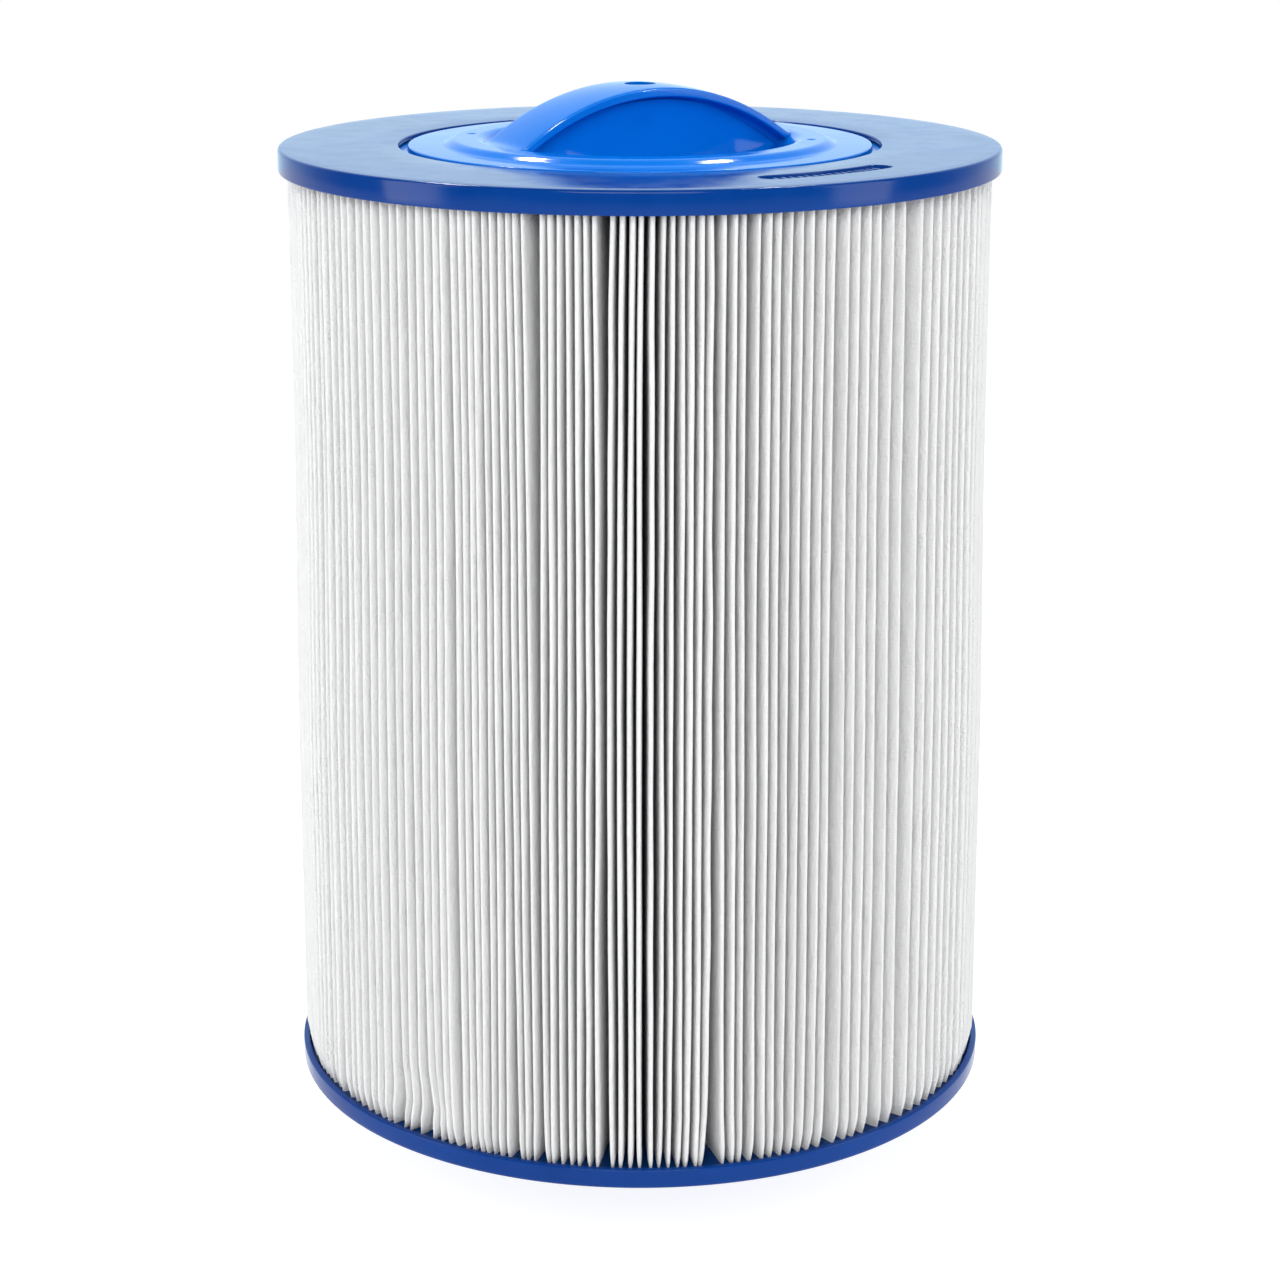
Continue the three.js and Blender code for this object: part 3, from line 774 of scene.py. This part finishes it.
def plate_shell():
    """The plate and boss as a turned section whose inner edge rolls over into the pockets,
    with two small dimples let into the boss."""
    slope_r = POCKET_EDGE_R - 0.1
    rim = limits("handle_insert")[1][0]
    corners = [
        [slope_r, bowl_z(slope_r)], [slope_r + 0.6, bowl_z(slope_r + 0.6) - WALL], [36, -PLATE],
        [rim, -PLATE], [rim, -1.3], [INSERT_R, -1.3], [INSERT_R, 0], [BOSS_FOOT, 0],
        [BOSS_R, BOSS_HEIGHT], [DIMPLE_R + 1.8, BOSS_HEIGHT], [POCKET_R, BOSS_HEIGHT],
    ]
    outline = softened(corners, [0.05, 0.5, 0.5, 0.2, 0.2, 0.2, 0.4, 0.7, 0.9, 0.1, 1.4], 6)
    across = np.linspace(DIMPLE_R + 1.5, DIMPLE_R - 1.1, 11)
    after = len(outline) - 7
    extra = np.stack([across, np.full(11, BOSS_HEIGHT)], 1)
    outline = np.concatenate([outline[:after], extra, outline[after:]])
    angles = all_round(480)
    grid = turned(outline, angles)
    turn = (angles[:, None] - DIMPLE_ANGLE + math.pi / 2) % math.pi - math.pi / 2
    distance = np.hypot(outline[None, :, 0] - DIMPLE_R, turn * DIMPLE_R)
    dip = 0.45 * (1 - smooth_step(distance, 0.35, 1.0))
    grid[..., 2] += TOP_Z - dip * (np.abs(outline[:, 1] - BOSS_HEIGHT) < 1e-6)
    return shell(grid)


def pocket_grid(back):
    """One finger pocket in the handle's axes. Each row is a line across the pocket: down the
    web's hollow face, round a soft corner, then along the bowl to the rim. `back` moves the
    whole surface away from the pocket by the wall's thickness."""
    along = 30.1 * np.sin(np.linspace(-math.pi / 2, math.pi / 2, 90))[:, None]
    sphere = bowl_r + back
    reach = WEB_SCOOP_R + back

    def floor_z(front):
        return bowl_centre - np.sqrt(sphere ** 2 - along ** 2 - front ** 2)

    def web_front(up):
        return WEB_HALF + WEB_SCOOP_R - np.sqrt(reach ** 2 - up ** 2)

    foot = web_front(-POCKET_DEPTH / 2 + 0 * along)
    for _ in range(4):
        foot_z = floor_z(foot)
        foot = web_front(foot_z)
    top = np.maximum(arch_z(along) - LIP_DROP + 1.0, foot_z + 0.02)
    rim = np.maximum(np.sqrt(POCKET_EDGE_R ** 2 - along ** 2), foot + 0.02)
    soft = np.minimum(7.5, 0.6 * np.minimum(top - foot_z, rim - foot))
    t = np.linspace(0, 1, 12)[None, :]
    web_z = top + (foot_z + soft - top) * t
    web = np.stack([web_front(web_z), web_z], -1)
    floor_front = foot + soft + (rim - foot - soft) * np.linspace(0, 1, 18)[None, :]
    floor = np.stack([floor_front, floor_z(floor_front)], -1)
    a, b = web[:, -1:], floor[:, :1]
    corner = np.stack([foot, foot_z], -1)
    u = np.linspace(0, 1, 9)[None, 1:-1, None]
    bend = (1 - u) ** 2 * a + 2 * u * (1 - u) * corner + u ** 2 * b
    line = np.concatenate([web, bend, floor], 1)
    return np.concatenate([np.broadcast_to(along[..., None], line.shape[:2] + (1,)), line], -1)


def pocket_shell(side):
    """The pocket's face and its back, joined round their edges; side -1 is the rear pocket."""
    face, back = pocket_grid(0), pocket_grid(WALL)
    loop = np.concatenate([face, back[:, ::-1]], 1)
    loop[..., :2] *= side
    rows, columns = loop.shape[:2]
    points = to_place(loop).reshape(-1, 3)
    sides = net(rows, columns, False, True)
    width = face.shape[1]
    j = np.arange(width - 1)
    start_end = np.stack([j, columns - 1 - j, columns - 2 - j, j + 1], 1)
    far_end = start_end[:, ::-1] + (rows - 1) * columns
    faces = np.concatenate([sides, start_end, far_end])
    return points, outward(points, faces)


def band_section():
    """The band's section, (front, drop below the crown line), as one half from the crown down
    and its mirror image: the top, the fine step at its edge, the lip's outer face, and the
    undercut below it that curves down to the web."""
    half = np.array([
        [0, 0], [2.5, -0.03], [5.0, -0.12], [7.0, -0.25], [8.1, -0.33], [8.25, -0.37], [8.32, -0.5],
        [8.38, -0.54], [8.68, -0.56], [8.83, -0.66], [8.9, -0.85],
        [9.0, -1.85], [8.97, -2.0], [8.85, -2.1],
        [8.3, -2.35], [7.4, -2.5], [6.7, -2.6], [6.1, -2.9], [5.7, -3.4], [5.4, -3.8], [4.4, -3.5],
        [4.1, -2.9], [3.9, -2.3], [2.0, -2.2],
    ])
    return np.concatenate([half, half[:0:-1] * [-1, 1]])


def band_shell():
    """The section carried along the arch. Its ends follow the pockets' round edge, since each
    point runs to sqrt(R^2 - front^2), and the top flattens softly into the boss there:
    the larger of two heights, rounded off by sqrt((a-b)^2 + c^2)."""
    section = band_section()
    front, drop = section[:, 0], section[:, 1]
    u = np.sin(np.linspace(-math.pi / 2, math.pi / 2, 121))[:, None]
    along = u * np.sqrt(BAND_END_R ** 2 - front ** 2)
    crown = arch_z(along)
    level = BOSS_HEIGHT - 0.04
    blend = 0.9
    flat_top = (crown + level + np.sqrt((crown - level) ** 2 + blend ** 2)) / 2
    flat_top -= np.sqrt((CROWN - level) ** 2 + blend ** 2) / 2 - (CROWN - level) / 2
    up = np.where(flat_top + drop > level - 3, flat_top + drop, level - 3)
    grid = np.stack([along, np.broadcast_to(front, along.shape), up], -1)
    rows, columns = grid.shape[:2]
    points = np.concatenate([to_place(grid).reshape(-1, 3), to_place(grid[[0, -1]]).mean(1)])
    sides = net(rows, columns, False, True)
    i = np.arange(columns)
    beside = (i + 1) % columns
    base = rows * columns
    first = np.stack([beside, i, np.full(columns, base)], 1)
    last = np.stack([i + base - columns, beside + base - columns, np.full(columns, base + 1)], 1)
    flip = outward(points, sides) is not sides
    return (points, *[f[:, ::-1] if flip else f for f in (sides, first, last)])


def drill_vent(target):
    """Cuts the vent hole through the band's crown and applies the cut."""
    outline = np.array([
        [0, CROWN - 6], [VENT_R, CROWN - 6], [VENT_R, CROWN - 0.12], [VENT_R + 0.15, CROWN + 0.03],
        [VENT_R + 0.15, CROWN + 2], [0, CROWN + 2],
    ])
    outline[:, 1] += TOP_Z
    rim = turned(outline[1:-1], all_round(64))
    rows, columns = rim.shape[:2]
    poles = np.array([[0, 0, outline[0, 1]], [0, 0, outline[-1, 1]]])
    points = np.concatenate([rim.reshape(-1, 3), poles])
    sides = net(rows, columns, True, False)
    i = np.arange(rows)
    following = (i + 1) % rows
    low = np.stack([i * columns, following * columns, np.full(rows, rows * columns)], 1)
    high = np.stack([following * columns, i * columns, np.full(rows, rows * columns + 1)], 1)
    high[:, :2] += columns - 1
    flip = outward(points - poles[0], sides) is not sides
    sets = [f[:, ::-1] if flip else f for f in (sides, low, high)]
    drill = piece("drill", [(points, *sets)], blue_handle)
    cut = target.modifiers.new("vent", "BOOLEAN")
    cut.object = drill
    cut.operation = "DIFFERENCE"
    cut.solver = "EXACT"
    graph = bpy.context.evaluated_depsgraph_get()
    target.data = bpy.data.meshes.new_from_object(target.evaluated_get(graph))
    target.modifiers.clear()
    target.data.set_sharp_from_angle(angle=math.radians(35))
    bpy.data.objects.remove(drill)


HANDLE_DEEP = (0.0003, 0.125, 0.53, 1)
HANDLE_PALE = (0.0006, 0.150, 0.61, 1)
blue_handle = moulded("bright_blue_handle_plastic", HANDLE_DEEP, HANDLE_PALE, 0.11)
plate = piece("handle_plate", [plate_shell(), pocket_shell(1), pocket_shell(-1)], blue_handle)
band = piece("handle_band", [band_shell()], blue_handle)
drill_vent(band)
settle(plate, "handle_insert", "handle_blue")
settle(band, "handle_insert", "handle_blue")

# ---- Studio -------------------------------------------------------------------------------
# A pale floor under a white surround, one large soft box high in front, a tall one at each
# side, and two small ones high behind that put the bright glints on the boss.

CAMERA_LENS = 82.75
CAMERA_AWAY = 622.5
CAMERA_ABOVE_TOP = 73.5
CAMERA_PITCH = 0.234
CAMERA_SHIFT_Y = -0.12
AIM_HEIGHT = 0.13
FLOOR_HALF = 1.5


def camera():
    data = bpy.data.cameras.new("camera")
    data.lens = CAMERA_LENS
    data.sensor_width = 36
    data.shift_y = CAMERA_SHIFT_Y
    made = bpy.data.objects.new("camera", data)
    made.location = (0, -CAMERA_AWAY * MM, (TOP_Z + CAMERA_ABOVE_TOP) * MM)
    made.rotation_euler = (math.pi / 2 - CAMERA_PITCH, 0, 0)
    bpy.context.scene.collection.objects.link(made)
    bpy.context.scene.camera = made


def soft_box(name, azimuth, distance, height, size, power):
    """A rectangular light that looks at a point on the cartridge's axis. Azimuth is in degrees
    from the front, positive to the right, and the rest is in metres and watts."""
    data = bpy.data.lights.new(name, "AREA")
    data.shape = "RECTANGLE"
    data.size, data.size_y = size
    data.energy = power
    made = bpy.data.objects.new(name, data)
    a = math.radians(azimuth)
    made.location = (math.sin(a) * distance, -math.cos(a) * distance, height)
    aim = made.location.copy()
    aim.z -= AIM_HEIGHT
    made.rotation_euler = aim.to_track_quat("Z", "Y").to_euler()
    bpy.context.scene.collection.objects.link(made)


def floor():
    paint = Paint("pale_floor", {"Roughness": 0.8, "Emission Strength": 0.86})
    paint.shader.inputs["Emission Color"].default_value = (1, 1, 1, 1)
    tone = paint.mixed(paint.noise(9, 2), (0.33, 0.33, 0.33, 1), (0.36, 0.36, 0.36, 1))
    made = bpy.data.objects.new("floor", bpy.data.meshes.new("floor"))
    corners = [(-1, -1, 0), (1, -1, 0), (1, 1, 0), (-1, 1, 0)]
    made.data.from_pydata([[FLOOR_HALF * c for c in corner] for corner in corners], [], [(0, 1, 2, 3)])
    made.data.materials.append(paint.finish(Base_Color=tone))
    bpy.context.scene.collection.objects.link(made)


def surround():
    """White where it is seen directly. As a light it is bright and slightly blue behind the
    object, which gives the flange its sheen, and dim in front."""
    world = bpy.data.worlds.new("surround")
    bpy.context.scene.world = world
    world.use_nodes = True
    tree = world.node_tree
    coords = tree.nodes.new("ShaderNodeTexCoord")
    split = tree.nodes.new("ShaderNodeSeparateXYZ")
    span = tree.nodes.new("ShaderNodeMapRange")
    span.interpolation_type = "SMOOTHSTEP"
    path = tree.nodes.new("ShaderNodeLightPath")
    tint = tree.nodes.new("ShaderNodeMix")
    pick = tree.nodes.new("ShaderNodeMix")
    tint.data_type = pick.data_type = "RGBA"
    tree.links.new(coords.outputs["Generated"], split.inputs[0])
    tree.links.new(split.outputs["Y"], span.inputs["Value"])
    for key, value in {1: 0.1, 2: 0.95, 3: 0.0, 4: 1.0}.items():
        span.inputs[key].default_value = value
    tree.links.new(span.outputs[0], tint.inputs[0])
    tint.inputs[6].default_value = (0.16, 0.16, 0.16, 1)
    tint.inputs[7].default_value = (0.92, 1.20, 1.37, 1)
    tree.links.new(path.outputs["Is Camera Ray"], pick.inputs[0])
    tree.links.new(tint.outputs[2], pick.inputs[6])
    pick.inputs[7].default_value = (1, 1, 1, 1)
    tree.links.new(pick.outputs[2], tree.nodes["Background"].inputs["Color"])


camera()
soft_box("front_box", -2, 1.05, 0.72, (0.8, 0.6), 9.8)
soft_box("left_box", -72, 1.0, 0.40, (0.4, 0.9), 5.2)
soft_box("right_box", 70, 1.0, 0.40, (0.4, 0.9), 4.6)
soft_box("upper_left_box", -144, 0.56, 0.96, (0.09, 0.09), 4.2)
soft_box("upper_right_box", 143, 0.43, 1.02, (0.09, 0.09), 3.8)
floor()
surround()
bpy.context.scene.view_settings.view_transform = "Standard"
